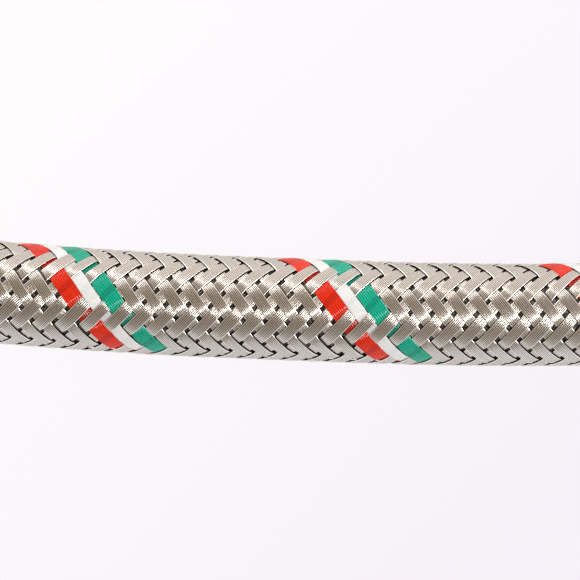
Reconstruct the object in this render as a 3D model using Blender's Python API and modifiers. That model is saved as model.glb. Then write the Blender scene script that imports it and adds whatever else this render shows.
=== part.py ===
"""Braided faucet supply hose, 400 mm long, with a G 1/2 swivel nut on each end.

The hose lies on a surface at z = 0, in a U whose two arms run towards +Y.
The end pieces are turned about the fitting's own axis, which lies level along Y,
so each nut rests on one flat. All sizes are in metres.
"""
import math

import bmesh
import bpy
from mathutils import Matrix, Vector
from mathutils.geometry import interpolate_bezier

# Clearance that pieces keep where the real ones touch
FIT_GAP = 0.0003

# Hose, from the water way outwards
LINER_BORE_RADIUS = 0.0040
LINER_WALL = 0.0012
BRAID_WALL = 0.00043
TUBE_SIDES = 12
RING_SPACING = 0.024

# Swivel nut, G 1/2 female
THREAD_MINOR_RADIUS = 0.00932
NUT_WALL = 0.00268
NUT_BACK_WALL = 0.0030
THREAD_LEAD_IN = 0.0011
SOCKET_DEPTH = 0.0064
NECK_CLEARANCE = 0.0004
NUT_FLOAT = 0.0005
HEX_SIDES = 6
HEX_CHAMFER_ANGLE = math.radians(30.0)
HEX_CHAMFER_INSET = 0.0006

# Flat gasket
GASKET_THICKNESS = 0.0025
GASKET_HOLE_RADIUS = 0.0056
GASKET_EDGE = 0.0003
GASKET_CLEARANCE = 0.0004

# Barbed insert
COLLAR_THICKNESS = 0.0020
COLLAR_CLEARANCE = 0.0005
COLLAR_EDGE = 0.0004
NECK_WALL = 0.00275
GROOVE_DEPTH = 0.0009
SHOULDER_THICKNESS = 0.0012
TAIL_LENGTH = 0.0190
TAIL_WALL = 0.0006
BARB_DEPTH = 0.0003
BARB_COUNT = 5
TAIL_NOSE = 0.0012

# Crimped ferrule
FERRULE_LENGTH = 0.0220
FERRULE_WALL = 0.0006
FERRULE_EDGE = 0.0006
LIP_THICKNESS = 0.0010
CRIMP_COUNT = 3
CRIMP_WIDTH = 0.0032
CRIMP_DEPTH = 0.0003
CRIMP_SLOPE = 0.0007
BELL_LENGTH = 0.0014
BELL_FLARE = 0.0004

# Facets round the turned pieces
TURN_STEPS = 32
NUT_STEPS = 48

# Route of the hose from the middle of the U to one arm's end, chosen by hand:
# distance from the middle, distance behind the hose's end, and how far the hose
# has risen from the surface (0) to the fitting's axis (1).
HALF_ROUTE = [
    (0.0000, 0.1079, 0.000),
    (0.0170, 0.1078, 0.000),
    (0.0340, 0.1072, 0.000),
    (0.0460, 0.1064, 0.000),
    (0.0578, 0.1043, 0.002),
    (0.0690, 0.1001, 0.020),
    (0.0798, 0.0929, 0.112),
    (0.0887, 0.0835, 0.303),
    (0.0952, 0.0722, 0.548),
    (0.0989, 0.0598, 0.780),
    (0.1003, 0.0469, 0.937),
    (0.1005, 0.0359, 0.993),
    (0.1005, 0.0272, 1.000),
    (0.1005, 0.0190, 1.000),
    (0.1005, 0.0000, 1.000),
]
SAMPLES_PER_SPAN = 24

# Radii that follow from the sizes above
FLAT_SHARE = math.cos(math.pi / TUBE_SIDES)
LINER_RADIUS = LINER_BORE_RADIUS + LINER_WALL / FLAT_SHARE
HOSE_RADIUS = LINER_RADIUS + (FIT_GAP + BRAID_WALL) / FLAT_SHARE
BARB_RADIUS = LINER_BORE_RADIUS * FLAT_SHARE - FIT_GAP
TAIL_RADIUS = BARB_RADIUS - BARB_DEPTH
INSERT_BORE_RADIUS = TAIL_RADIUS - TAIL_WALL
NECK_RADIUS = INSERT_BORE_RADIUS + NECK_WALL
GROOVE_RADIUS = NECK_RADIUS - GROOVE_DEPTH
FERRULE_BORE_RADIUS = HOSE_RADIUS + FIT_GAP
SHOULDER_RADIUS = FERRULE_BORE_RADIUS - FIT_GAP
COLLAR_RADIUS = THREAD_MINOR_RADIUS - COLLAR_CLEARANCE
GASKET_RADIUS = THREAD_MINOR_RADIUS - GASKET_CLEARANCE
ACROSS_FLATS = 2.0 * (THREAD_MINOR_RADIUS + NUT_WALL)
CORNER_RADIUS = ACROSS_FLATS / 2.0 / math.cos(math.pi / HEX_SIDES)

# Depths along the fitting's axis, measured from the nut's open face
GASKET_BACK = SOCKET_DEPTH + GASKET_THICKNESS
COLLAR_FRONT = GASKET_BACK + FIT_GAP
COLLAR_BACK = COLLAR_FRONT + COLLAR_THICKNESS
NUT_FLOOR = COLLAR_BACK + FIT_GAP
NUT_BACK = NUT_FLOOR + NUT_BACK_WALL
FERRULE_FRONT = NUT_BACK + NUT_FLOAT
LIP_BACK = FERRULE_FRONT + LIP_THICKNESS
GROOVE_FRONT = FERRULE_FRONT - FIT_GAP
GROOVE_BACK = LIP_BACK + FIT_GAP
SHOULDER_BACK = GROOVE_BACK + SHOULDER_THICKNESS
HOSE_END = SHOULDER_BACK + FIT_GAP
TAIL_END = SHOULDER_BACK + TAIL_LENGTH
FERRULE_BACK = FERRULE_FRONT + FERRULE_LENGTH
FITTING_LENGTH = max(FERRULE_BACK, TAIL_END)

# Where the fittings stand: the origin is midway between them, below their centres
AXIS_HEIGHT = ACROSS_FLATS / 2.0
MOUTH_Y = FITTING_LENGTH / 2.0
ARM_OFFSET = HALF_ROUTE[-1][0]


def clear_scene():
    for obj in list(bpy.data.objects):
        bpy.data.objects.remove(obj, do_unlink=True)


def new_collection(name):
    collection = bpy.data.collections.new(name)
    bpy.context.scene.collection.children.link(collection)
    return collection


def principled(name, color, metallic, roughness):
    material = bpy.data.materials.new(name)
    material.use_nodes = True
    shader = material.node_tree.nodes["Principled BSDF"]
    shader.inputs["Base Color"].default_value = (*color, 1.0)
    shader.inputs["Metallic"].default_value = metallic
    shader.inputs["Roughness"].default_value = roughness
    material.diffuse_color = (*color, 1.0)
    return material


def link_object(name, data, collection, material=None):
    obj = bpy.data.objects.new(name, data)
    collection.objects.link(obj)
    if material:
        obj.data.materials.append(material)
    return obj


def make_plain(obj):
    """Turn an object with modifiers into its finished mesh, smooth apart from real edges."""
    bpy.context.view_layer.update()
    depsgraph = bpy.context.evaluated_depsgraph_get()
    finished = bpy.data.meshes.new_from_object(obj.evaluated_get(depsgraph))
    obj.modifiers.clear()
    obj.data = finished
    finished.shade_smooth()
    finished.set_sharp_from_angle(angle=math.radians(28.0))


def turned(name, section, ring, steps, collection, material=None):
    """Turn a section of (radius, depth) points about Z: a closed ring, or open at the axis."""
    mesh = bpy.data.meshes.new(name)
    edges = [(i, i + 1) for i in range(len(section) - 1)]
    if ring:
        edges.append((len(section) - 1, 0))
    mesh.from_pydata([(radius, 0.0, -depth) for radius, depth in section], edges, [])
    obj = link_object(name, mesh, collection, material)
    screw = obj.modifiers.new("Turn", "SCREW")
    screw.steps = steps
    screw.render_steps = steps
    screw.use_merge_vertices = True
    screw.merge_threshold = 0.00001
    return obj


def turned_ring(name, outer, inner, collection, material):
    """A finished turned piece with a hole: both sides are listed from the mouth inwards."""
    piece = turned(name, outer + inner[::-1], True, TURN_STEPS, collection, material)
    make_plain(piece)
    return piece


def turned_cutter(name, outer, collection):
    """A turned body that is solid to the axis, for cutting the nut."""
    section = [(0.0, outer[0][1])] + outer + [(0.0, outer[-1][1])]
    return turned(name, section, False, NUT_STEPS, collection)


def hexagon_prism(name, height, collection, material):
    """The nut's bar stock, from depth 0 to its height, with flats that face -Y and +Y."""
    mesh = bpy.data.meshes.new(name)
    shape = bmesh.new()
    bmesh.ops.create_cone(
        shape,
        cap_ends=True,
        segments=HEX_SIDES,
        radius1=CORNER_RADIUS,
        radius2=CORNER_RADIUS,
        depth=height,
        matrix=Matrix.Translation((0.0, 0.0, -height / 2.0))
        @ Matrix.Rotation(math.pi / HEX_SIDES, 4, "Z"),
    )
    shape.to_mesh(mesh)
    shape.free()
    return link_object(name, mesh, collection, material)


def combine(obj, operation, tool):
    boolean = obj.modifiers.new(operation.title(), "BOOLEAN")
    boolean.operation = operation
    boolean.solver = "EXACT"
    boolean.object = tool
    tool.hide_render = True
    tool.display_type = "WIRE"


def swivel_nut(name, collection, cutters, material):
    """Hexagon nut, chamfered on both faces, with a plain bore where the thread is cut."""
    chamfer_radius = ACROSS_FLATS / 2.0 - HEX_CHAMFER_INSET
    blank_radius = CORNER_RADIUS + HEX_CHAMFER_INSET
    chamfer_depth = (blank_radius - chamfer_radius) * math.tan(HEX_CHAMFER_ANGLE)
    lead_in = min(THREAD_LEAD_IN, NUT_WALL / 2.0)
    neck_hole = NECK_RADIUS + NECK_CLEARANCE

    nut = hexagon_prism(name, NUT_BACK, collection, material)
    blank = turned_cutter(
        name + "_chamfer_blank",
        [
            (chamfer_radius, 0.0),
            (blank_radius, chamfer_depth),
            (blank_radius, NUT_BACK - chamfer_depth),
            (chamfer_radius, NUT_BACK),
        ],
        cutters,
    )
    bore = turned_cutter(
        name + "_bore_cutter",
        [
            (THREAD_MINOR_RADIUS + 2.0 * lead_in, -lead_in),
            (THREAD_MINOR_RADIUS, lead_in),
            (THREAD_MINOR_RADIUS, NUT_FLOOR),
            (neck_hole, NUT_FLOOR),
            (neck_hole, NUT_BACK + lead_in),
        ],
        cutters,
    )
    combine(nut, "INTERSECT", blank)
    combine(nut, "DIFFERENCE", bore)
    make_plain(nut)
    return nut


def gasket(name, collection, material):
    edge = min(GASKET_EDGE, GASKET_THICKNESS / 3.0)
    outer = [
        (GASKET_RADIUS - edge, SOCKET_DEPTH),
        (GASKET_RADIUS, SOCKET_DEPTH + edge),
        (GASKET_RADIUS, GASKET_BACK - edge),
        (GASKET_RADIUS - edge, GASKET_BACK),
    ]
    inner = [
        (GASKET_HOLE_RADIUS, SOCKET_DEPTH),
        (GASKET_HOLE_RADIUS, GASKET_BACK),
    ]
    return turned_ring(name, outer, inner, collection, material)


def barb_profile():
    """Saw teeth that point back at the collar, so that the liner slides on and stays."""
    first = SHOULDER_BACK
    pitch = (TAIL_LENGTH - TAIL_NOSE) / BARB_COUNT
    points = []
    for barb in range(BARB_COUNT):
        start = first + barb * pitch
        points.append((TAIL_RADIUS, start))
        points.append((TAIL_RADIUS, start + 0.25 * pitch))
        points.append((BARB_RADIUS, start + 0.25 * pitch))
    points.append((TAIL_RADIUS, TAIL_END - TAIL_NOSE))
    points.append((TAIL_RADIUS - TAIL_WALL / 2.0, TAIL_END))
    return points


def barbed_insert(name, collection, material):
    """Collar held in the nut, neck, groove for the ferrule's lip, hose stop and tail."""
    edge = min(COLLAR_EDGE, COLLAR_THICKNESS / 3.0)
    outer = [
        (COLLAR_RADIUS - edge, COLLAR_FRONT),
        (COLLAR_RADIUS, COLLAR_FRONT + edge),
        (COLLAR_RADIUS, COLLAR_BACK - edge),
        (COLLAR_RADIUS - edge, COLLAR_BACK),
        (NECK_RADIUS, COLLAR_BACK),
        (NECK_RADIUS, GROOVE_FRONT),
        (GROOVE_RADIUS, GROOVE_FRONT),
        (GROOVE_RADIUS, GROOVE_BACK),
        (SHOULDER_RADIUS, GROOVE_BACK),
        (SHOULDER_RADIUS, SHOULDER_BACK),
    ]
    outer += barb_profile()
    inner = [
        (INSERT_BORE_RADIUS + edge, COLLAR_FRONT),
        (INSERT_BORE_RADIUS, COLLAR_FRONT + edge),
        (INSERT_BORE_RADIUS, TAIL_END),
    ]
    return turned_ring(name, outer, inner, collection, material)


def crimp_profile(crest_radius):
    """One side of the ferrule's wall: raised between the pressed bands, and a bell mouth."""
    first = HOSE_END + CRIMP_SLOPE
    last = FERRULE_BACK - BELL_LENGTH
    pitch = (last - first) / CRIMP_COUNT
    band = min(CRIMP_WIDTH, pitch - 3.0 * CRIMP_SLOPE)
    points = []
    for crimp in range(CRIMP_COUNT):
        middle = first + (crimp + 0.5) * pitch
        points += [
            (crest_radius, middle - band / 2.0 - CRIMP_SLOPE),
            (crest_radius - CRIMP_DEPTH, middle - band / 2.0),
            (crest_radius - CRIMP_DEPTH, middle + band / 2.0),
            (crest_radius, middle + band / 2.0 + CRIMP_SLOPE),
        ]
    points.append((crest_radius, last))
    points.append((crest_radius + BELL_FLARE, FERRULE_BACK))
    return points


def crimped_ferrule(name, collection, material):
    """Drawn cup: its lip sits in the insert's groove, its wall is pressed onto the braid."""
    bore_crest = FERRULE_BORE_RADIUS + CRIMP_DEPTH
    wall_crest = bore_crest + FERRULE_WALL
    lip_radius = GROOVE_RADIUS + FIT_GAP
    edge = min(FERRULE_EDGE, LIP_THICKNESS / 2.0)
    outer = [
        (wall_crest - edge, FERRULE_FRONT),
        (wall_crest - 0.3 * edge, FERRULE_FRONT + 0.3 * edge),
        (wall_crest, FERRULE_FRONT + edge),
    ]
    outer += crimp_profile(wall_crest)
    inner = [
        (lip_radius, FERRULE_FRONT),
        (lip_radius, LIP_BACK),
        (bore_crest, LIP_BACK),
    ]
    inner += crimp_profile(bore_crest)
    return turned_ring(name, outer, inner, collection, material)


def hose_route():
    """The chosen points of the whole U, from the left arm's end to the right arm's."""
    resting = HOSE_RADIUS
    hose_end_y = MOUTH_Y - HOSE_END
    half = [
        Vector((side, hose_end_y - behind, resting + rise * (AXIS_HEIGHT - resting)))
        for side, behind, rise in HALF_ROUTE
    ]
    left = [Vector((-point.x, point.y, point.z)) for point in reversed(half[1:])]
    return left + half


def smooth_curve(knots):
    """A curve through the knots, turning at each as a circle through its neighbours would."""
    chords = [after - before for before, after in zip(knots, knots[1:])]
    directions = [chords[0].normalized()]
    for before, after in zip(chords, chords[1:]):
        blend = before.normalized() * after.length + after.normalized() * before.length
        directions.append(blend.normalized())
    directions.append(chords[-1].normalized())
    curve = [knots[0]]
    for i in range(len(knots) - 1):
        reach = (knots[i + 1] - knots[i]).length / 3.0
        span = interpolate_bezier(
            knots[i],
            knots[i] + directions[i] * reach,
            knots[i + 1] - directions[i + 1] * reach,
            knots[i + 1],
            SAMPLES_PER_SPAN + 1,
        )
        curve += span[1:]
    return curve


def even_points(curve, spacing):
    """Points at equal distances along the curve, about the given spacing apart."""
    travelled = [0.0]
    for start, end in zip(curve, curve[1:]):
        travelled.append(travelled[-1] + (end - start).length)
    spans = max(2, round(travelled[-1] / spacing))
    points = []
    index = 0
    for step in range(spans + 1):
        target = travelled[-1] * step / spans
        while index < len(curve) - 2 and travelled[index + 1] < target:
            index += 1
        share = (target - travelled[index]) / (travelled[index + 1] - travelled[index])
        points.append(curve[index].lerp(curve[index + 1], min(share, 1.0)))
    return points


def hose_tube(name, points, radius, wall, collection, material):
    """A hollow tube along the route: an open skin that gets its wall on the inside."""
    curve = bpy.data.curves.new(name, "CURVE")
    curve.dimensions = "3D"
    curve.bevel_depth = radius
    curve.bevel_resolution = TUBE_SIDES // 2 - 2
    curve.use_fill_caps = False
    curve.render_resolution_u = 0
    spline = curve.splines.new("POLY")
    spline.points.add(len(points) - 1)
    for target, point in zip(spline.points, points):
        target.co = (*point, 1.0)
    tube = link_object(name, curve, collection, material)
    solidify = tube.modifiers.new("Wall", "SOLIDIFY")
    solidify.thickness = wall
    solidify.offset = -1.0
    solidify.use_even_offset = True
    return tube


def fitting(side, end, collection, cutters, materials):
    """The four pieces of one end, on an empty that carries the fitting's axis."""
    axis = link_object("axis_" + end, None, collection)
    axis.empty_display_type = "SINGLE_ARROW"
    axis.empty_display_size = FITTING_LENGTH
    axis.location = (side * ARM_OFFSET, MOUTH_Y, AXIS_HEIGHT)
    axis.rotation_euler = (-math.pi / 2.0, 0.0, 0.0)
    pieces = [
        swivel_nut("nut_" + end, collection, cutters, materials["plated_brass"]),
        gasket("gasket_" + end, collection, materials["black_rubber"]),
        barbed_insert("insert_" + end, collection, materials["brass"]),
        crimped_ferrule("ferrule_" + end, collection, materials["stainless"]),
    ]
    for piece in pieces:
        piece.parent = axis


def build():
    clear_scene()
    collection = new_collection("faucet_supply_hose")
    cutters = new_collection("cutters")
    materials = {
        "stainless": principled("stainless", (0.62, 0.60, 0.57), 1.0, 0.28),
        "plated_brass": principled("plated_brass", (0.72, 0.72, 0.72), 1.0, 0.18),
        "brass": principled("brass", (0.75, 0.58, 0.27), 1.0, 0.30),
        "black_rubber": principled("black_rubber", (0.03, 0.03, 0.03), 0.0, 0.60),
        "braid": principled("braid", (0.60, 0.57, 0.54), 1.0, 0.35),
        "liner_rubber": principled("liner_rubber", (0.05, 0.05, 0.05), 0.0, 0.55),
    }
    points = even_points(smooth_curve(hose_route()), RING_SPACING)
    hose_tube("inner_tube", points, LINER_RADIUS, LINER_WALL, collection, materials["liner_rubber"])
    hose_tube("braid_sleeve", points, HOSE_RADIUS, BRAID_WALL, collection, materials["braid"])
    for side, end in ((-1.0, "a"), (1.0, "b")):
        fitting(side, end, collection, cutters, materials)
    for cutter in list(cutters.objects):
        bpy.data.objects.remove(cutter, do_unlink=True)
    bpy.data.collections.remove(cutters)


build()
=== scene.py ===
import math

import bmesh
import bpy
from mathutils import Matrix, Vector
from mathutils.geometry import interpolate_bezier


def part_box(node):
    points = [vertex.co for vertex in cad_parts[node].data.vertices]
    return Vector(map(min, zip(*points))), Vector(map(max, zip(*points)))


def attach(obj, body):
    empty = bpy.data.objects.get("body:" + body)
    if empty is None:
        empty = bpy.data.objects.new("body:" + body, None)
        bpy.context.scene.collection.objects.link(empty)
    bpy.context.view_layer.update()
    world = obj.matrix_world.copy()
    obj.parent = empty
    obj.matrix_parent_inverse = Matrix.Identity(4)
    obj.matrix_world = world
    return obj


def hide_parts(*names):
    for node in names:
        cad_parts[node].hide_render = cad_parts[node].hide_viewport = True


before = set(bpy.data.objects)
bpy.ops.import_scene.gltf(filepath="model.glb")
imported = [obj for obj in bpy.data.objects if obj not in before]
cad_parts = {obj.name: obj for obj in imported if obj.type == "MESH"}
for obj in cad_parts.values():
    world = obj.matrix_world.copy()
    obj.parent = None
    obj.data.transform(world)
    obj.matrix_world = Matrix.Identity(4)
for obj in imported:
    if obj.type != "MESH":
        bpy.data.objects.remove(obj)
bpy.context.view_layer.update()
print("frame loaded")


class Socket:
    # one output of a node, on which maths can be written as plain sums
    def __init__(self, recipe, socket):
        self.recipe, self.socket = recipe, socket

    def maths(self, operation, *others):
        return self.recipe.maths(operation, self, *others)

    def other(self, name):
        return Socket(self.recipe, self.socket.node.outputs[name])

    def __add__(self, b): return self.maths("ADD", b)
    def __radd__(self, a): return self.maths("ADD", a)
    def __sub__(self, b): return self.maths("SUBTRACT", b)
    def __rsub__(self, a): return self.recipe.maths("SUBTRACT", a, self)
    def __mul__(self, b): return self.maths("MULTIPLY", b)
    def __rmul__(self, a): return self.maths("MULTIPLY", a)
    def __truediv__(self, b): return self.maths("DIVIDE", b)
    def __pow__(self, b): return self.maths("POWER", b)
    def __mod__(self, b): return self.maths("FLOORED_MODULO", b)
    def __lt__(self, b): return self.maths("LESS_THAN", b)
    def __gt__(self, b): return self.maths("GREATER_THAN", b)

    def clamped(self, low, high): return self.maths("MAXIMUM", low).maths("MINIMUM", high)


class Recipe:
    # a node tree while it is written
    def __init__(self, tree):
        self.tree = tree

    def put(self, node, key, value):
        if isinstance(value, Socket):
            self.tree.links.new(value.socket, node.inputs[key])
        elif value is not None:
            node.inputs[key].default_value = value

    def node(self, kind, settings=None, inputs=None, output=0):
        made = self.tree.nodes.new(kind)
        for key, value in (settings or {}).items():
            if key == "stops":
                ramp = made.color_ramp
                while len(ramp.elements) < len(value):
                    ramp.elements.new(0.5)
                for element, (place, colour) in zip(ramp.elements, value):
                    element.position, element.color = place, (*colour, 1.0)
            else:
                setattr(made, key, value)
        pairs = inputs.items() if isinstance(inputs, dict) else enumerate(inputs or [])
        for key, value in pairs:
            self.put(made, key, value)
        return Socket(self, made.outputs[output]) if len(made.outputs) else made

    def maths(self, operation, *values):
        return self.node("ShaderNodeMath", {"operation": operation}, list(values))

    def vector(self, operation, *values, output=0):
        return self.node("ShaderNodeVectorMath", {"operation": operation}, list(values), output)

    def scaled(self, vector, amount):
        return self.node("ShaderNodeVectorMath", {"operation": "SCALE"}, {0: vector, "Scale": amount})

    def joined(self, x, y, z):
        return self.node("ShaderNodeCombineXYZ", None, [x, y, z])

    def noise(self, vector, scale, detail):
        return self.node("ShaderNodeTexNoise", {"noise_dimensions": "3D"},
                         {"Vector": vector, "Scale": scale, "Detail": detail})

    def mixed(self, factor, a, b, blend="MIX"):
        return self.node("ShaderNodeMix", {"data_type": "RGBA", "blend_type": blend},
                         {0: factor, 6: a, 7: b}, 2)

    def attribute(self, name, output="Fac"):
        return self.node("ShaderNodeAttribute", {"attribute_name": name}, None, output)

    def coordinate(self, name):
        return self.node("ShaderNodeTexCoord", None, None, name)


quarterTurn, fullTurn = 1.570796, 6.283185
nudge = 0.0001            # keeps a whole number from being floored to the one below it

# the hose's route, the same points as in the part's source
route = {
    "half": [  # distance from the middle, distance behind the hose's end, share of the rise
        (0.0000, 0.1079, 0.000), (0.0170, 0.1078, 0.000), (0.0340, 0.1072, 0.000),
        (0.0460, 0.1064, 0.000), (0.0578, 0.1043, 0.002), (0.0690, 0.1001, 0.020),
        (0.0798, 0.0929, 0.112), (0.0887, 0.0835, 0.303), (0.0952, 0.0722, 0.548),
        (0.0989, 0.0598, 0.780), (0.1003, 0.0469, 0.937), (0.1005, 0.0359, 0.993),
        (0.1005, 0.0272, 1.000), (0.1005, 0.0190, 1.000), (0.1005, 0.0000, 1.000)],
    "hoseEndY": 0.0007, "restingHeight": 0.005998, "fittingHeight": 0.012,
    "samplesPerSpan": 24, "spacing": 0.0015,
}


def routePoints():
    rise = route["fittingHeight"] - route["restingHeight"]
    half = [Vector((side, route["hoseEndY"] - behind, route["restingHeight"] + share * rise))
            for side, behind, share in route["half"]]
    knots = [Vector((-p.x, p.y, p.z)) for p in reversed(half[1:])] + half
    chords = [b - a for a, b in zip(knots, knots[1:])]
    headings = [chords[0].normalized()]
    for before, after in zip(chords, chords[1:]):
        heading = before.normalized() * after.length + after.normalized() * before.length
        headings.append(heading.normalized())
    headings.append(chords[-1].normalized())
    curve = [knots[0]]
    for i, chord in enumerate(chords):
        reach = chord.length / 3.0
        leaving, arriving = knots[i] + headings[i] * reach, knots[i + 1] - headings[i + 1] * reach
        span = interpolate_bezier(knots[i], leaving, arriving, knots[i + 1], route["samplesPerSpan"] + 1)
        curve += span[1:]
    travelled = [0.0]
    for a, b in zip(curve, curve[1:]):
        travelled.append(travelled[-1] + (b - a).length)
    spans = round(travelled[-1] / route["spacing"])
    points, i = [], 0
    for step in range(spans + 1):
        target = travelled[-1] * step / spans
        while i < len(curve) - 2 and travelled[i + 1] < target:
            i += 1
        share = (target - travelled[i]) / (travelled[i + 1] - travelled[i])
        points.append(curve[i].lerp(curve[i + 1], min(share, 1.0)))
    return points, travelled[-1]


hosePoints, hoseLength = routePoints()
# the fittings' axes lie along Y, at x = -arm and x = arm
arm, mouth = route["half"][-1][0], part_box("nut_a")[1].y
print(f"route of {hoseLength * 1000:.2f} mm")


def link(name, data):
    made = bpy.data.objects.new(name, data)
    bpy.context.scene.collection.objects.link(made)
    return made


def lineCurve(name, points):
    curve = bpy.data.curves.new(name, "CURVE")
    curve.dimensions = "3D"
    spline = curve.splines.new("POLY")
    spline.points.add(len(points) - 1)
    for target, point in zip(spline.points, points):
        target.co = (*point, 1.0)
    return curve


def asMesh(made):
    # the evaluated object becomes its own plain mesh, and its modifiers go
    bpy.context.view_layer.update()
    mesh = bpy.data.meshes.new_from_object(made.evaluated_get(bpy.context.evaluated_depsgraph_get()))
    made.modifiers.clear()
    if made.type == "MESH":
        made.data = mesh
        return made
    name = made.name
    bpy.data.objects.remove(made)
    mesh.name = name
    return link(name, mesh)


def growTree(made, tree, values):
    # values go in by the socket's identifier, before the object is first evaluated
    grow = made.modifiers.new("grow", "NODES")
    grow.node_group = tree
    for item in tree.interface.items_tree:
        if item.in_out == "INPUT" and item.name in values:
            grow[item.identifier] = values[item.name]
    return asMesh(made)


def newTree(name, inputs):
    tree = bpy.data.node_groups.new(name, "GeometryNodeTree")
    tree.interface.new_socket("Geometry", in_out="INPUT", socket_type="NodeSocketGeometry")
    tree.interface.new_socket("Geometry", in_out="OUTPUT", socket_type="NodeSocketGeometry")
    for label, kind in inputs:
        tree.interface.new_socket(label, in_out="INPUT", socket_type="NodeSocket" + kind)
    recipe = Recipe(tree)
    entry = tree.nodes.new("NodeGroupInput")
    labels = ["Geometry"] + [label for label, kind in inputs]
    return recipe, {label: Socket(recipe, entry.outputs[label]) for label in labels}


def endTree(recipe, geometry, material):
    geometry = recipe.node("GeometryNodeRealizeInstances", None, [geometry])
    geometry = recipe.node("GeometryNodeSetMaterial", None, {"Geometry": geometry, "Material": material})
    recipe.node("NodeGroupOutput", None, [geometry])
    return recipe.tree


def plainTube(recipe, rows, sides):
    # a closed tube whose points run row by row; the tree that asks for it places each one
    line = recipe.node("GeometryNodeMeshLine", None, {"Count": rows})
    line = recipe.node("GeometryNodeMeshToCurve", None, {"Mesh": line})
    ring = recipe.node("GeometryNodeCurvePrimitiveCircle", None, {"Resolution": sides, "Radius": 0.1})
    return recipe.node("GeometryNodeCurveToMesh", None, {
        "Curve": line, "Profile Curve": ring, "Fill Caps": True})


# the woven sleeve
weave = {
    "carriers": 12,            # strands in each direction
    "pitch": 0.03049,          # one turn of a strand along the hose
    "radius": 0.00580,         # of the sleeve's middle layer
    "swing": 0.00012,          # how far a strand rises and dips
    "stiffness": 0.6,          # share of the swing that is a flat float, not a wave
    "floatEnd": 3.2,           # how sharply a flat float ends
    "floatPeriod": 4.0,        # crossings until a strand repeats: over two, under two
    "rimDrop": 0.2,            # how low a strand's two rims lie, as a share of its thickness
    "from": 0.0112, "to": 0.3532,   # along the route, just inside both ferrules
    # where strand 0 crosses the hose's top, and the angle at which a float has its middle
    "forwardStart": 0.14900, "forwardOver": -8.5,
    "backStart": 0.14892, "backOver": 21.5,
    # the weave is pushed along on one side of the hose
    "skew": 0.0010, "skewAngle": 85.0, "skewPower": 5.0,
    # rows of points a step, and the share of their spacing that is even
    "rowsPerStep": 7, "bunching": 0.41,
}
# what differs from strand to strand: waves a metre, how far a wire or a strand strays, and fixed seeds
chance = {
    "waves": 150.0, "breaths": 90.0, "wander": 0.20, "breath": 0.30, "lift": 0.00001,
    "wanderSeeds": (0.9, 5.31), "breathSeeds": (3.7, 7.77), "liftSeeds": (3.13, 9.0, 3.3),
    "spread": 0.05, "spreadSeed": 2.4, "fibresApart": 10.0, "backNumbersFrom": 20,
}
strandKinds = {
    "steelForward": {"wires": 7, "width": 0.00127, "thickness": 0.00016, "drop": 0.000042, "unruly": 1.0},
    "steelBack": {"wires": 7, "width": 0.00138, "thickness": 0.00016, "drop": 0.000042, "unruly": 1.0},
    "coloured": {"wires": 8, "width": 0.00195, "thickness": 0.00018, "drop": 0.00013, "unruly": 0.5},
    "white": {"wires": 8, "width": 0.00150, "thickness": 0.00018, "drop": 0.000020, "unruly": 0.2},
}
# strands that lie ahead of their place, as a share of the most, by their number
crowding = {"most": 0.00077, "shares": {1: 0.0, 2: 0.48, 3: 1.0, 4: 0.61, 5: 0.38, 6: 0.13, 7: 0.0}}


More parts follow.
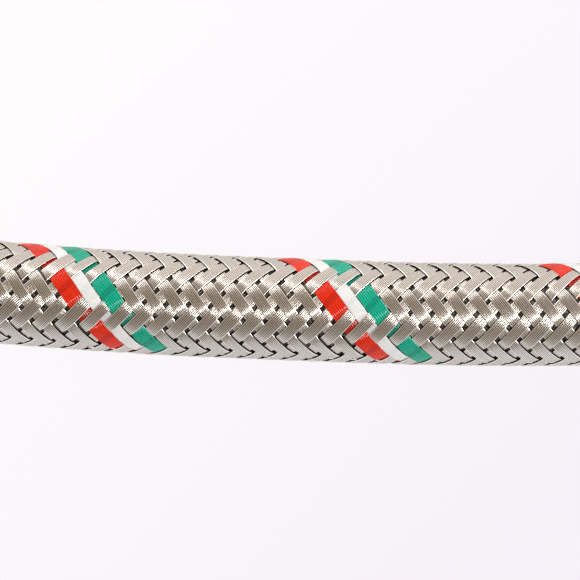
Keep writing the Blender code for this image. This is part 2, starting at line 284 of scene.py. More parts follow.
def strandTree():
    recipe, given = newTree("strand", [
        ("Route", "Object"), ("Direction", "Float"), ("Pitch", "Float"), ("Carriers", "Float"),
        ("Radius", "Float"), ("Swing", "Float"), ("Flat Share", "Float"), ("From", "Float"), ("Rows", "Int"),
        ("Rows Per Step", "Float"), ("Bunching", "Float"), ("Over Angle", "Float"), ("Wires", "Int"),
        ("Width", "Float"), ("Thickness", "Float"), ("Drop", "Float"), ("Unruly", "Float"),
        ("Forward Start", "Float"), ("Crowding", "Float"), ("Skew", "Float"), ("Skew Angle", "Float"),
        ("Skew Power", "Float"), ("Material", "Material")])
    # one tube for each strand, with a crest and a valley for each wire
    sides = given["Wires"] * 2.0 + 2.0
    tube = plainTube(recipe, given["Rows"], sides)
    placed = recipe.node("GeometryNodeInstanceOnPoints", None, {
        "Points": given["Geometry"], "Instance": tube})
    placed = recipe.node("GeometryNodeRealizeInstances", None, [placed])

    def own(name):
        return recipe.node("GeometryNodeInputNamedAttribute", {"data_type": "FLOAT"}, {"Name": name})

    index = recipe.node("GeometryNodeInputIndex")
    column = index % sides
    row = recipe.maths("FLOOR", index / sides + nudge) % given["Rows"]
    # rows bunch in the middle of each step, where the strand changes level
    perStep = given["Rows Per Step"]
    step = recipe.maths("FLOOR", row / perStep + nudge)
    place = (row - step * perStep - (perStep - 1.0) * 0.5) / (perStep * 0.5)
    place = place * given["Bunching"] + place * place * place * (1.0 - given["Bunching"])
    stepLength = given["Pitch"] / given["Carriers"]
    lead = own("lead")
    overStart = own("start") + lead * 0.5 + given["Direction"] * given["Over Angle"] * given["Pitch"] / 360.0
    firstStep = recipe.maths("CEIL", (given["From"] - overStart) / stepLength)
    crossing = (step + firstStep) * 2.0 + 1.0 + place
    turned = given["Direction"] * (crossing - lead / stepLength) * 180.0 / given["Carriers"]
    angle = given["Over Angle"] + turned
    along = overStart + crossing * stepLength * 0.5
    # across the strand: crest and valley points of each wire, and one point below
    lean = recipe.maths("ARCTANGENT", fullTurn * given["Radius"] / given["Pitch"])
    sinLean, cosLean = recipe.maths("SINE", lean), recipe.maths("COSINE", lean)
    below = column > given["Wires"] * 2.0 + 0.5
    crest = column % 2.0 * (1.0 - below)
    rim = 1.0 - recipe.maths("COMPARE", column, given["Wires"], given["Wires"] - 0.5)
    rim = rim * (1.0 - below)
    wire = recipe.maths("FLOOR", column * 0.5)
    share = (column / (given["Wires"] * 2.0) - 0.5) * (1.0 - below)
    strand = own("number")

    def stray(waves, wireSeed, strandSeed):
        return recipe.noise(recipe.joined(along * waves, wireSeed, strand * strandSeed), 1.0, 1.0) - 0.5

    wander = stray(chance["waves"], column * chance["wanderSeeds"][0], chance["wanderSeeds"][1])
    breath = stray(chance["breaths"], *chance["breathSeeds"])
    width = given["Width"] * own("spread") * (1.0 + breath * chance["breath"] * given["Unruly"])
    across = share * width + wander * given["Thickness"] * chance["wander"] * given["Unruly"] * (1.0 - below)
    # weaving over two and under two of the other direction's strands, some of which lie ahead of their place
    sideways = given["Direction"] * recipe.maths("COSINE", lean * 2.0) * across / (stepLength * sinLean)
    crossing = crossing + sideways
    met = (along - given["Pitch"] * angle / 360.0 - given["Forward Start"]) / stepLength
    crowd = recipe.node("ShaderNodeValToRGB", {"stops": [
        (n / weave["carriers"], (ahead, ahead, ahead)) for n, ahead in crowding["shares"].items()]},
        [met % given["Carriers"] / given["Carriers"]], "Color")
    crossing = crossing - crowd * given["Crowding"] * (given["Direction"] < 0.0) / stepLength
    wave = recipe.maths("COSINE", crossing * quarterTurn)
    flat = (wave * weave["floatEnd"]).clamped(-1.0, 1.0)
    flat = flat * 1.5 - flat * flat * flat * 0.5
    level = given["Swing"] * (flat * given["Flat Share"] + wave * (1.0 - given["Flat Share"]))
    perWire, offset, perStrand = chance["liftSeeds"]
    lift = stray(chance["waves"], wire * perWire + offset, perStrand) * given["Unruly"] * chance["lift"]
    height = given["Thickness"] * 0.5 - (1.0 - crest) * given["Drop"]
    height = height - rim * given["Thickness"] * weave["rimDrop"]
    height = height * (1.0 - below) - below * given["Thickness"] * 0.5 + lift * (1.0 - below)
    radius = given["Radius"] + level + height
    along = along - given["Direction"] * sinLean * across
    angle = recipe.maths("RADIANS", angle) + cosLean * across / given["Radius"]
    pushed = recipe.maths("COSINE", angle + recipe.maths("RADIANS", given["Skew Angle"])) * 0.5 + 0.5
    along = along + given["Skew"] * pushed ** given["Skew Power"]
    # onto the route
    road = recipe.node("GeometryNodeObjectInfo", {"transform_space": "ORIGINAL"},
                       {"Object": given["Route"]}, "Geometry")
    spot = recipe.node("GeometryNodeSampleCurve", {"mode": "LENGTH", "use_all_curves": False},
                       {"Curves": road, "Length": along}, "Position")
    ahead = recipe.vector("NORMALIZE", spot.other("Tangent"))
    up = recipe.joined(0.0, 0.0, 1.0)
    up = recipe.vector("NORMALIZE", recipe.vector(
        "SUBTRACT", up, recipe.scaled(ahead, recipe.vector("DOT_PRODUCT", up, ahead, output="Value"))))
    side = recipe.vector("CROSS_PRODUCT", ahead, up)
    out = recipe.vector("ADD", recipe.scaled(up, recipe.maths("COSINE", angle)),
                        recipe.scaled(side, recipe.maths("SINE", angle)))
    woven = recipe.node("GeometryNodeSetPosition", None, {
        "Geometry": placed, "Position": recipe.vector("ADD", spot, recipe.scaled(out, radius))})
    # valleys between the wires are real edges
    ends = recipe.node("GeometryNodeInputMeshEdgeVertices", None, None, "Vertex Index 1")
    first, second = ends % sides, ends.other("Vertex Index 2") % sides
    valley = recipe.maths("COMPARE", first, second, 0.1) * (1.0 - first % 2.0)
    valley = valley * (first < given["Wires"] * 2.0 + 0.5)
    woven = recipe.node("GeometryNodeSetShadeSmooth", {"domain": "EDGE"}, {
        "Geometry": woven, "Selection": valley, "Shade Smooth": False})
    for name, value in (("depth", 1.0 - crest), ("crossing", crossing)):
        woven = recipe.node("GeometryNodeStoreNamedAttribute", {"data_type": "FLOAT", "domain": "POINT"}, {
            "Geometry": woven, "Name": name, "Value": value})
    fibre = recipe.joined(along, wire + strand * chance["fibresApart"], share)
    woven = recipe.node("GeometryNodeStoreNamedAttribute", {"data_type": "FLOAT_VECTOR", "domain": "POINT"}, {
        "Geometry": woven, "Name": "fibre", "Value": fibre})
    return endTree(recipe, woven, given["Material"])


def newMaterial(name):
    material = bpy.data.materials.new(name)
    material.use_nodes = True
    recipe = Recipe(material.node_tree)
    shader = material.node_tree.nodes["Principled BSDF"]
    return material, recipe, shader


def strandPlaces(recipe):
    # what the weave stored on a strand: the place on its fibres, how deep between two wires,
    # and how many crossings from the middle of a float
    fibre = recipe.attribute("fibre", "Vector")
    depth, crossing = recipe.attribute("depth"), recipe.attribute("crossing")
    period = weave["floatPeriod"]
    over = ((crossing + period * 0.5) % period - period * 0.5).maths("ABSOLUTE")
    return fibre, depth, over


steel = {
    # the last colour is painted shade, for the valleys between the wires and where a strand dives under the
    # next
    "pale": (1.0, 0.938, 0.884, 1.0), "dull": (0.88, 0.813, 0.750, 1.0), "groove": (0.030, 0.024, 0.018, 1.0),
    "streaks": (120.0, 2.3, 0.0), "contrast": 3.0, "dulled": 1.0,        # a metre, a wire
    "grooveFrom": 0.52, "grooveSlope": 3.6, "brightEdge": 0.462,         # depth, and a share of the width
    # painted shade where a strand dives under the next one
    "diveShadeFrom": 1.11, "diveShadeTo": 1.5, "diveShadeSlope": 12.0, "diveShadeMost": 0.9,   # crossings from a float's middle
    "roughness": 0.277, "rougher": 0.02,
}


def steelWire():
    material, recipe, shader = newMaterial("steelWire")
    fibre, depth, over = strandPlaces(recipe)
    streak = recipe.noise(recipe.vector("MULTIPLY", fibre, steel["streaks"]), 1.0, 2.0)
    tone = (streak * steel["contrast"] - steel["dulled"]).clamped(0.0, 1.0)
    # painted shade: darker lines between the wires, standing in for the shade in their valleys; the strand's
    # outer edges are left out of it and stay bright
    share = recipe.node("ShaderNodeSeparateXYZ", None, [fibre], "Z").maths("ABSOLUTE")
    groove = ((depth - steel["grooveFrom"]) * steel["grooveSlope"]).clamped(0.0, 1.0)
    groove = groove * (share < steel["brightEdge"])
    # painted shade: a strand is darkened where it dives under the next one, as if in the shade of the
    # crossing strand
    diveShade = ((over - steel["diveShadeFrom"]) * steel["diveShadeSlope"]).clamped(0.0, steel["diveShadeMost"])
    groove = groove.maths("MAXIMUM", diveShade * (over < steel["diveShadeTo"]))
    colour = recipe.mixed(groove, recipe.mixed(tone, steel["dull"], steel["pale"]), steel["groove"])
    recipe.put(shader, "Base Color", colour)
    recipe.put(shader, "Roughness", steel["roughness"] + streak * steel["rougher"])
    recipe.put(shader, "Metallic", 1.0)
    return material


nylonLook = {
    "streaks": (500.0, 1.7, 0.0), "contrast": 1.8, "shaded": 0.4, "rougher": 0.08,
    "grooveFrom": 0.65, "grooveSlope": 2.2,
    # painted shade, by crossings from a float's middle, and how dark it is there
    "gapShadeTo": 0.24, "gapShadeSlope": 12.0, "gapShadeStrength": 0.40, "underShadeFrom": 1.5, "underShadeStrength": 0.65,
}
# each nylon's darkest colour is also its painted shade
nylons = {      # the colour, its shade, its darkest, and the roughness
    "red": ((1.0, 0.044, 0.006, 1.0), (0.96, 0.026, 0.004, 1.0), (0.42, 0.006, 0.003, 1.0), 0.12),
    "white": ((0.99, 1.0, 1.0, 1.0), (0.95, 0.97, 1.0, 1.0), (0.80, 0.82, 0.88, 1.0), 0.22),
    "green": ((0.006, 0.61, 0.40, 1.0), (0.004, 0.48, 0.32, 1.0), (0.002, 0.20, 0.14, 1.0), 0.12),
}


def nylon(name, colour, shade, dark, roughness):
    material, recipe, shader = newMaterial(name)
    look = nylonLook
    fibre, depth, over = strandPlaces(recipe)
    streak = recipe.noise(recipe.vector("MULTIPLY", fibre, look["streaks"]), 1.0, 2.0)
    tone = recipe.mixed((streak * look["contrast"] - look["shaded"]).clamped(0.0, 1.0), shade, colour)
    # painted shade: darker where the gap below the middle of a float shows through the nylon, and where the
    # strand lies under the crossing strands
    gapShade = ((look["gapShadeTo"] - over) * look["gapShadeSlope"]).clamped(0.0, 1.0) * look["gapShadeStrength"]
    tone = recipe.mixed(gapShade.maths("MAXIMUM", (over > look["underShadeFrom"]) * look["underShadeStrength"]), tone, dark)
    # painted shade: darker lines between the filaments
    groove = ((depth - look["grooveFrom"]) * look["grooveSlope"]).clamped(0.0, 1.0)
    recipe.put(shader, "Base Color", recipe.mixed(groove, tone, dark))
    recipe.put(shader, "Roughness", roughness + streak * look["rougher"])
    return material


linerLook = {
    "black": (0.016, 0.012, 0.010, 1.0), "speck": (0.30, 0.28, 0.26, 1.0),
    "grain": 4200.0, "contrast": 5.0, "blackened": 2.5, "roughness": 0.30, "rougher": 0.2,
}


def linerRubber():
    material, recipe, shader = newMaterial("linerRubber")
    look = linerLook
    grain = recipe.noise(recipe.coordinate("Object"), look["grain"], 1.0)
    grain = (grain * look["contrast"] - look["blackened"]).clamped(0.0, 1.0)
    recipe.put(shader, "Base Color", recipe.mixed(grain, look["black"], look["speck"]))
    recipe.put(shader, "Roughness", look["roughness"] + grain * look["rougher"])
    return material


turnedLook = {
    "bar": (3200.0, 90.0, 3200.0), "blotches": 240.0, "scuffs": 1900.0,    # grains a metre
    "flatFrom": 0.35, "flatSlope": 8.0, "scuffSlope": 1400.0, "bumpHeight": 0.00002,
    "grainTone": 0.9, "blotchTone": 0.7, "dulled": 0.3, "scuffTone": 0.5,
    "grainRougher": 0.12, "blotchRougher": 0.06, "scuffRougher": 0.25,
}


def turnedMetal(name, pale, dull, roughness, lines, bump, drawn=0.0, scuffedFrom=1.0):
    # fine rings left by the lathe, lines along the drawn bar on its flats, and scuffed corners
    material, recipe, shader = newMaterial(name)
    look = turnedLook
    place = recipe.coordinate("Object")
    parts = recipe.node("ShaderNodeSeparateXYZ", None, [place])
    across, along = parts.maths("ABSOLUTE") - arm, parts.other("Y")
    up = parts.other("Z") - route["fittingHeight"]
    radius = (across * across + up * up) ** 0.5      # from the nearest fitting's axis
    rings = recipe.noise(recipe.joined(radius * lines, along * lines, 0.0), 1.0, 3.0)
    bar = recipe.noise(recipe.vector("MULTIPLY", place, look["bar"]), 1.0, 3.0)
    endOn = recipe.node("ShaderNodeSeparateXYZ", None, [recipe.coordinate("Normal")], "Y").maths("ABSOLUTE")
    flats = ((look["flatFrom"] - endOn) * look["flatSlope"]).clamped(0.0, 1.0) * drawn
    grain = rings * (1.0 - flats) + bar * flats
    blotch = recipe.noise(place, look["blotches"], 3.0)
    scuff = ((radius - scuffedFrom) * look["scuffSlope"]).clamped(0.0, 1.0)
    scuff = scuff * recipe.noise(place, look["scuffs"], 2.0)
    tone = grain * look["grainTone"] + blotch * look["blotchTone"] - look["dulled"]
    tone = tone - scuff * look["scuffTone"]
    recipe.put(shader, "Base Color", recipe.mixed(tone.clamped(0.0, 1.0), dull, pale))
    recipe.put(shader, "Roughness", roughness + grain * look["grainRougher"] + blotch * look["blotchRougher"]
               + scuff * look["scuffRougher"])
    recipe.put(shader, "Normal", recipe.node("ShaderNodeBump", None, {
        "Strength": bump, "Distance": look["bumpHeight"], "Height": grain}))
    recipe.put(shader, "Metallic", 1.0)
    return material


gasketLook = {
    "black": (0.014, 0.014, 0.015, 1.0), "bloomed": (0.050, 0.049, 0.048, 1.0),
    "grain": 5200.0, "bloom": 380.0, "grainTone": 0.7, "bloomTone": 0.8, "blackened": 0.25,
    "roughness": 0.50, "rougher": 0.25, "bump": 0.35, "bumpHeight": 0.00003,
}


def gasketRubber():
    material, recipe, shader = newMaterial("gasketRubber")
    look = gasketLook
    place = recipe.coordinate("Object")
    grain, bloom = recipe.noise(place, look["grain"], 3.0), recipe.noise(place, look["bloom"], 3.0)
    tone = (grain * look["grainTone"] + bloom * look["bloomTone"] - look["blackened"]).clamped(0.0, 1.0)
    recipe.put(shader, "Base Color", recipe.mixed(tone, look["black"], look["bloomed"]))
    recipe.put(shader, "Roughness", look["roughness"] + grain * look["rougher"])
    recipe.put(shader, "Normal", recipe.node("ShaderNodeBump", None, {
        "Strength": look["bump"], "Distance": look["bumpHeight"], "Height": grain}))
    return material


wireMetal = steelWire()
finishes = {name: nylon(name + "Nylon", *look) for name, look in nylons.items()}
black = linerRubber()
plated = turnedMetal("platedNut", (0.83, 0.815, 0.785, 1.0), (0.69, 0.67, 0.635, 1.0),
                     roughness=0.10, lines=7000.0, bump=0.25, drawn=1.0, scuffedFrom=0.0132)
stainless = turnedMetal("ferruleSteel", (0.70, 0.68, 0.655, 1.0), (0.55, 0.535, 0.51, 1.0),
                        roughness=0.20, lines=4200.0, bump=0.30, drawn=1.0)
brass = turnedMetal("insertBrass", (0.83, 0.63, 0.29, 1.0), (0.68, 0.48, 0.19, 1.0),
                    roughness=0.20, lines=6500.0, bump=0.35)
washer = gasketRubber()
print("materials ready")

road = link("road", lineCurve("road", hosePoints))
strands = strandTree()


def strandGroup(name, numbers, direction, kind, material):
    mesh = bpy.data.meshes.new(name)
    mesh.from_pydata([(0.0, 0.0, 0.0)] * len(numbers), [], [])
    spacing = weave["pitch"] / weave["carriers"]
    base = weave["forwardStart"] if direction > 0 else weave["backStart"]
    ahead = crowding["shares"] if direction > 0 else {}
    columns = {
        "start": [base + n * spacing for n in numbers],
        "lead": [crowding["most"] * ahead.get(n, 0.0) for n in numbers],
        "spread": [1.0 + chance["spread"] * math.sin(n * chance["spreadSeed"] + direction) for n in numbers],
        "number": [float(n if direction > 0 else n + chance["backNumbersFrom"]) for n in numbers],
    }
    for label, values in columns.items():
        mesh.attributes.new(label, "FLOAT", "POINT").data.foreach_set("value", values)
    steps = math.floor((weave["to"] - weave["from"]) / spacing)
    sizes = strandKinds[kind]
    made = growTree(link(name, mesh), strands, {
        "Route": road, "Direction": float(direction), "Pitch": weave["pitch"],
        "Carriers": float(weave["carriers"]), "Radius": weave["radius"], "Swing": weave["swing"],
        "Flat Share": weave["stiffness"], "From": weave["from"], "Rows": steps * weave["rowsPerStep"],
        "Rows Per Step": float(weave["rowsPerStep"]), "Bunching": weave["bunching"],
        "Over Angle": weave["forwardOver"] if direction > 0 else weave["backOver"],
        "Wires": sizes["wires"], "Width": sizes["width"], "Thickness": sizes["thickness"],
        "Drop": sizes["drop"], "Unruly": sizes["unruly"], "Forward Start": weave["forwardStart"],
        "Crowding": crowding["most"], "Skew": weave["skew"], "Skew Angle": weave["skewAngle"],
        "Skew Power": weave["skewPower"], "Material": material})
    print(f"{name}: {len(made.data.polygons)} faces")
    return made


sleeve = [
    strandGroup("wires_forward_1", [6, 7, 8, 9, 10], 1, "steelForward", wireMetal),
    strandGroup("wires_forward_2", [11, 0, 1, 2], 1, "steelForward", wireMetal),
    strandGroup("wires_back_1", [0, 1, 2, 3], -1, "steelBack", wireMetal),
    strandGroup("wires_back_2", [4, 5, 6, 7], -1, "steelBack", wireMetal),
    strandGroup("wires_back_3", [8, 9, 10, 11], -1, "steelBack", wireMetal),
    strandGroup("tracer_red", [3], 1, "coloured", finishes["red"]),
    strandGroup("tracer_white", [4], 1, "white", finishes["white"]),
    strandGroup("tracer_green", [5], 1, "coloured", finishes["green"]),
]
slots = ["steel_braid"] * 5 + ["red_tracer", "white_tracer", "green_tracer"]
print("sleeve woven")

# the liner, a smooth tube on which the sleeve lies
liner = {"radius": 0.00555, "wall": 0.0015, "resolution": 14}
hose = lineCurve("liner", hosePoints)
hose.bevel_depth, hose.bevel_resolution, hose.use_fill_caps = liner["radius"], liner["resolution"], False
tube = link("liner", hose)
wall = tube.modifiers.new("wall", "SOLIDIFY")
wall.thickness, wall.offset = liner["wall"], -1.0
tube = asMesh(tube)
tube.data.materials.clear()
tube.data.materials.append(black)
tube.data.shade_smooth()
bpy.data.objects.remove(road)

# the fittings: a nut with its thread cut, and a crimped ferrule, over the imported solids
packedSolid = {"merge": 0.00001, "flat": math.radians(0.8)}
thread = {
    "pitch": 0.001814, "major": 0.0104775, "minor": 0.00932, "rootFlat": 0.00030, "flank": math.radians(27.5),
    "start": -0.0012, "depth": 0.0074, "runOut": 0.6, "stepsPerTurn": 48, "overcut": 0.00015,
}
nutEdges = {"width": 0.00016, "segments": 3, "sharper": math.radians(20.0)}
ferruleSizes = {
    "steps": 128, "jaws": 8, "ridge": 0.00009, "ridgeWidth": math.radians(3.2),
    "crest": 0.0072, "wall": 0.0006,
    "band": 0.0032, "slope": 0.0007, "pressed": 0.0003, "bands": (0.02135, 0.02705, 0.03275),
    "front": 0.0150, "lip": 0.0010, "lipRadius": 0.004814, "corner": 0.0006, "bell": 0.0014, "flare": 0.0004,
    "back": 0.0370, "rim": 0.00022, "rimArc": (15.0, 165.0), "cornerSteps": 6, "bellSteps": 5,
    "rowSpacing": 0.00022, "pressedBeyond": 0.0057768, "sharper": math.radians(35.0),
}


def threadTree():
    recipe, given = newTree("thread", [
        ("Steps Per Turn", "Int"), ("Rows", "Int"), ("Pitch", "Float"), ("Major", "Float"),
        ("Minor", "Float"), ("Root Flat", "Float"), ("Flank", "Float"), ("Start", "Float"),
        ("Run Out", "Float"), ("Arm", "Float"), ("Mouth", "Float"), ("Height", "Float"),
        ("Material", "Material")])
    corners = 4
    tube = plainTube(recipe, given["Rows"], corners)
    index = recipe.node("GeometryNodeInputIndex")
    corner = index % float(corners)
    row = recipe.maths("FLOOR", index / float(corners) + nudge)
    turns = row / given["Steps Per Turn"]
    # corners 0 and 1 lie at the thread's root, 2 and 3 in the bore, and 1 and 2 towards the mouth
    outer = corner < 1.5
    deep = given["Major"] - given["Minor"]
    left = (given["Rows"] - 1.0 - row) / (given["Steps Per Turn"] * given["Run Out"])
    fade = deep * (1.0 - left.clamped(0.0, 1.0))
    widest = given["Root Flat"] * 0.5 + deep * recipe.maths("TANGENT", given["Flank"])
    half = given["Root Flat"] * 0.5 * outer + widest * (1.0 - outer)
    away = 1.0 - 2.0 * recipe.maths("COMPARE", corner, 1.5, 0.6)
    radius = given["Minor"] + deep * outer - fade
    angle = turns * fullTurn
    depth = given["Start"] + turns * given["Pitch"] + half * away
    spot = recipe.joined(given["Arm"] + radius * recipe.maths("COSINE", angle), given["Mouth"] - depth,
                         given["Height"] + radius * recipe.maths("SINE", angle))
    cut = recipe.node("GeometryNodeSetPosition", None, {"Geometry": tube, "Position": spot})
    return endTree(recipe, cut, given["Material"])


def tidied(name, node):
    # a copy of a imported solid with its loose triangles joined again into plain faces
    mesh = bpy.data.objects[node].data.copy()
    shape = bmesh.new()
    shape.from_mesh(mesh)
    bmesh.ops.remove_doubles(shape, verts=shape.verts, dist=packedSolid["merge"])
    bmesh.ops.dissolve_limit(shape, angle_limit=packedSolid["flat"], verts=shape.verts, edges=shape.edges)
    shape.to_mesh(mesh)
    shape.free()
    return link(name, mesh)


def faceOutwards(mesh):
    shape = bmesh.new()
    shape.from_mesh(mesh)
    bmesh.ops.recalc_face_normals(shape, faces=shape.faces)
    shape.to_mesh(mesh)
    shape.free()


def threadedNut(name, node, side, tree, material):
    made = tidied(name, node)
    soften = made.modifiers.new("edges", "BEVEL")
    soften.width, soften.segments = nutEdges["width"], nutEdges["segments"]
    soften.limit_method, soften.angle_limit = "ANGLE", nutEdges["sharper"]
    made = asMesh(made)
    turns = (thread["depth"] - thread["start"]) / thread["pitch"]
    cutter = growTree(link("cutter", bpy.data.meshes.new("cutter")), tree, {
        "Steps Per Turn": thread["stepsPerTurn"], "Rows": round(turns * thread["stepsPerTurn"]),
        "Pitch": thread["pitch"], "Major": thread["major"], "Minor": thread["minor"] - thread["overcut"],
        "Root Flat": thread["rootFlat"], "Flank": thread["flank"], "Start": thread["start"],
        "Run Out": thread["runOut"], "Arm": side * arm, "Mouth": mouth, "Height": route["fittingHeight"],
        "Material": material})
    faceOutwards(cutter.data)
    cut = made.modifiers.new("thread", "BOOLEAN")
    cut.operation, cut.solver, cut.object = "DIFFERENCE", "EXACT", cutter
    made = asMesh(made)
    bpy.data.objects.remove(cutter)
    made.data.materials.clear()
    made.data.materials.append(material)
    made.data.shade_smooth()
    made.data.set_sharp_from_angle(angle=nutEdges["sharper"])
    print(f"{name}: {len(made.data.polygons)} faces")
    return made


def arcTo(points, centre, radius, first, last, steps):
    # adds a rounding to a section of (radius, depth) points
    for step in range(steps + 1):
        turn = math.radians(first + (last - first) * step / steps)
        points.append((centre[0] + radius * math.cos(turn), centre[1] + radius * math.sin(turn)))


def pressedIn(depth):
    # how far the jaws have pushed the wall in at a depth, with smooth shoulders
    most = 0.0
    for middle in ferruleSizes["bands"]:
        past = (abs(depth - middle) - ferruleSizes["band"] * 0.5) / ferruleSizes["slope"]
        share = 1.0 - min(max(past, 0.0), 1.0)
        most = max(most, share * share * (3.0 - 2.0 * share))
    return most


def ferruleSection():
    # the outer wall from front to back, round the bell's rim, and back along the inside
    s = ferruleSizes
    inside, rim, corner, points = s["crest"] - s["wall"], s["rim"], s["corner"], []

    def bell(wall, share):
        return (wall + s["flare"] * share * share, s["back"] - s["bell"] + (s["bell"] - rim) * share)

    arcTo(points, (s["crest"] - corner, s["front"] + corner), corner, -90.0, 0.0, s["cornerSteps"])
    rows = round((s["back"] - s["bell"] - s["front"] - corner) / s["rowSpacing"])
    points += [(s["crest"], s["front"] + corner + row * s["rowSpacing"]) for row in range(1, rows + 1)]
    points += [bell(s["crest"], step / s["bellSteps"]) for step in range(1, s["bellSteps"] + 1)]
    arcTo(points, (s["crest"] + s["flare"] - rim, s["back"] - rim), rim, *s["rimArc"], s["cornerSteps"])
    points += [bell(inside, step / s["bellSteps"]) for step in range(s["bellSteps"], -1, -1)]
    half = s["band"] * 0.5
    for middle in reversed(s["bands"]):
        for offset in (half + s["slope"], half, -half, -half - s["slope"]):
            points.append((inside, middle + offset))
    lip = s["front"] + s["lip"]
    return points + [(inside, lip), (s["lipRadius"], lip), (s["lipRadius"], s["front"])]


def crimpedFerrule(name, side, material):
    s, section = ferruleSizes, ferruleSection()
    verts, faces = [], []
    for turn in range(s["steps"]):
        angle = 2.0 * math.pi * turn / s["steps"]
        # a ridge is left between two jaws
        fromGap = (angle * s["jaws"] / (2.0 * math.pi) + 0.5) % 1.0 - 0.5
        ridge = math.exp(-(fromGap * 2.0 * math.pi / s["jaws"] / s["ridgeWidth"]) ** 2)
        for radius, depth in section:
            pushed = pressedIn(depth) if radius > s["pressedBeyond"] else 0.0
            grown = radius - pushed * (s["pressed"] - ridge * s["ridge"])
            verts.append((side * arm + grown * math.sin(angle), mouth - depth,
                          route["fittingHeight"] + grown * math.cos(angle)))
        for i in range(len(section)):
            here, there = turn * len(section), (turn + 1) % s["steps"] * len(section)
            j = (i + 1) % len(section)
            faces.append((here + i, here + j, there + j, there + i))
    mesh = bpy.data.meshes.new(name)
    mesh.from_pydata(verts, [], faces)
    mesh.materials.append(material)
    faceOutwards(mesh)
    mesh.shade_smooth()
    mesh.set_sharp_from_angle(angle=ferruleSizes["sharper"])
    print(f"{name}: {len(mesh.polygons)} faces")
    return link(name, mesh)


threads, fittings = threadTree(), []
for end, side in (("a", -1), ("b", 1)):
    nut = threadedNut("swivel_nut_" + end, "nut_" + end, side, threads, plated)
    ferrule = crimpedFerrule("crimped_ferrule_" + end, side, stainless)
    for piece, node, body, slot in ((nut, "nut_" + end, "swivel_" + end, "plated_nut"),
                                    (ferrule, "ferrule_" + end, "hose", "ferrule_steel")):
        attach(piece, body)
        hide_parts(node)
        fittings.append(piece)
    for node, material in (("insert_" + end, brass), ("gasket_" + end, washer)):
        bpy.data.objects[node].material_slots[0].material = material
        fittings.append(node)
print("fittings made")

for piece, slot in zip(sleeve, slots):
    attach(piece, "hose")
    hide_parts("braid_sleeve")
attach(tube, "hose")
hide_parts("inner_tube")
sleeve + fittings


# floor, light and camera
studio = {
    "floorReach": 3.0, "floorGap": 0.0002, "floorRoughness": 0.8, "floorGlow": 0.97,
    "floorPale": (1.0, 0.98, 1.0, 1.0), "floorShade": (0.93, 0.885, 0.945, 1.0),
    "shadeFrom": 0.105, "shadeSlope": 9.0,
    # the floor as the metal mirrors it, before and behind the hose
    "mirrored": 0.86, "mirroredStep": 0.14, "behindFrom": 0.107, "behindSlope": 100.0,
    "cool": (0.95, 0.965, 0.99, 1.0), "warm": (1.0, 0.960, 0.915, 1.0),
    "keyDistance": 0.55, "keyLength": 0.60, "keyWidth": 0.07, "keyAim": (0.0, -0.1072, 0.006),
    "cameraAbove": 0.350, "cameraOver": (0.0, -0.10496), "lens": 186.4, "roll": 2.2, "clipStart": 0.01,
}
# the two strips of light: towards them, which way their wires turn, the tilt of those wires, and their watts
strips = {
    "keyForward": ((0.60, 0.04, 0.80), -1.0, -4.0, 1.75),
    "keyBack": ((-0.34, 0.88, 0.34), 1.0, 32.0, 0.60),
}
# the light from all round, by height, with one side cooler and the other brighter and warmer
surroundings = {
    "stops": [(0.0, (1.0, 0.985, 0.98)), (0.30, (0.91, 0.893, 0.877)), (0.55, (0.545, 0.507, 0.460)),
              (0.80, (0.310, 0.264, 0.208)), (1.0, (0.265, 0.216, 0.162))],
    "tiltBehind": -0.09, "tiltBefore": -0.17, "tintSlope": 0.6,
    "cool": (0.91, 0.935, 0.96, 1.0), "warm": (1.06, 1.01, 0.965, 1.0), "seen": (0.985, 0.965, 0.99, 1.0),
}


def floorMaterial():
    material, recipe, shader = newMaterial("floor")
    parts = recipe.node("ShaderNodeSeparateXYZ", None, [recipe.coordinate("Object")])
    slope = ((parts - parts.other("Y") - studio["shadeFrom"]) * studio["shadeSlope"] + 0.5).clamped(0.0, 1.0)
    colour = recipe.mixed(slope, studio["floorPale"], studio["floorShade"])
    recipe.put(shader, "Base Color", colour)
    recipe.put(shader, "Roughness", studio["floorRoughness"])
    rays = recipe.node("ShaderNodeLightPath", None, None, "Is Camera Ray")
    mirrored = rays.other("Is Glossy Ray").maths("MAXIMUM", rays.other("Is Transmission Ray"))
    behind = ((parts.other("Y") + studio["behindFrom"]) * studio["behindSlope"]).clamped(-1.0, 1.0)
    tinted = recipe.mixed(behind * 0.5 + 0.5, studio["cool"], studio["warm"])
    glow = recipe.node("ShaderNodeEmission", None, {
        "Color": recipe.mixed(rays, tinted, colour), "Strength": 1.0})
    mirrored = mirrored * (studio["mirrored"] + behind * studio["mirroredStep"])
    seen = (rays * studio["floorGlow"]).maths("MAXIMUM", mirrored)
    blend = recipe.node("ShaderNodeMixShader", None, [seen, Socket(recipe, shader.outputs[0]), glow])
    recipe.put(recipe.tree.nodes["Material Output"], "Surface", blend)
    return material


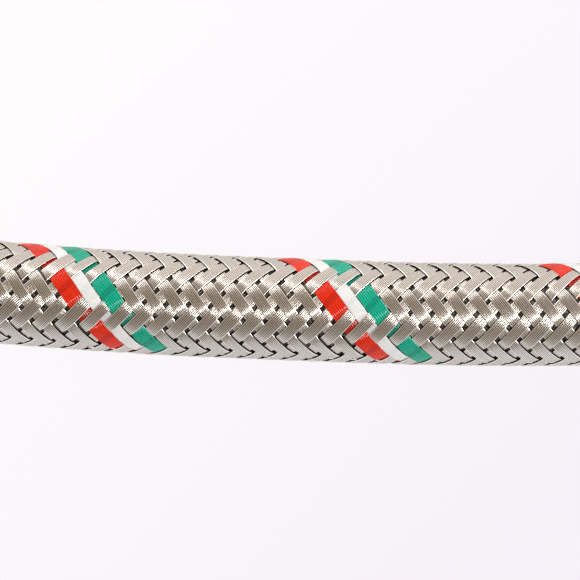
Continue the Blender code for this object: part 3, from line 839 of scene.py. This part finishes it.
floorMesh = bpy.data.meshes.new("floor")
reach, below = studio["floorReach"], -studio["floorGap"]
floorMesh.from_pydata([(-reach, -reach, below), (reach, -reach, below), (reach, reach, below),
                       (-reach, reach, below)], [], [(0, 1, 2, 3)])
floorMesh.materials.append(floorMaterial())
floor = link("floor", floorMesh)

world = bpy.data.worlds.new("studio")
bpy.context.scene.world = world
world.use_nodes = True
recipe = Recipe(world.node_tree)
parts = recipe.node("ShaderNodeSeparateXYZ", None, [recipe.coordinate("Generated")])
side = parts.other("Y")
behind, before = side * surroundings["tiltBehind"], side * surroundings["tiltBefore"]
height = parts.other("Z") + behind.maths("MAXIMUM", before)
sky = recipe.node("ShaderNodeValToRGB", {"stops": surroundings["stops"]}, [height], "Color")
slope = (side * surroundings["tintSlope"] + 0.5).clamped(0.0, 1.0)
sky = recipe.mixed(1.0, sky, recipe.mixed(slope, surroundings["cool"], surroundings["warm"]), "MULTIPLY")
rays = recipe.node("ShaderNodeLightPath", None, None, "Is Camera Ray")
recipe.put(world.node_tree.nodes["Background"], "Color", recipe.mixed(rays, sky, surroundings["seen"]))

aimedAt = Vector(studio["keyAim"])
lean = math.atan(2.0 * math.pi * weave["radius"] / weave["pitch"])
for name, (toward, turn, tilt, power) in strips.items():
    # each strip lies across one direction's wires, which gives them a short, soft highlight
    aim = Vector(toward).normalized()
    wire = Vector((math.cos(lean), turn * math.sin(lean) * math.cos(math.radians(tilt)),
                   -turn * math.sin(lean) * math.sin(math.radians(tilt))))
    key = bpy.data.lights.new(name, "AREA")
    key.shape, key.size, key.size_y, key.energy = "RECTANGLE", studio["keyLength"], studio["keyWidth"], power
    along = aim.cross(wire).normalized()
    lamp = link(name, key)
    lamp.matrix_world = Matrix((along, aim.cross(along), aim)).transposed().to_4x4()
    lamp.location = aimedAt + aim * studio["keyDistance"]

camera = bpy.data.cameras.new("camera")
camera.lens, camera.clip_start = studio["lens"], studio["clipStart"]
eye = link("camera", camera)
eye.location = (*studio["cameraOver"], route["restingHeight"] + studio["cameraAbove"])
eye.rotation_euler = (0.0, 0.0, math.radians(studio["roll"]))
bpy.context.scene.camera = eye
bpy.context.scene.view_settings.view_transform = "Standard"
print("studio set")
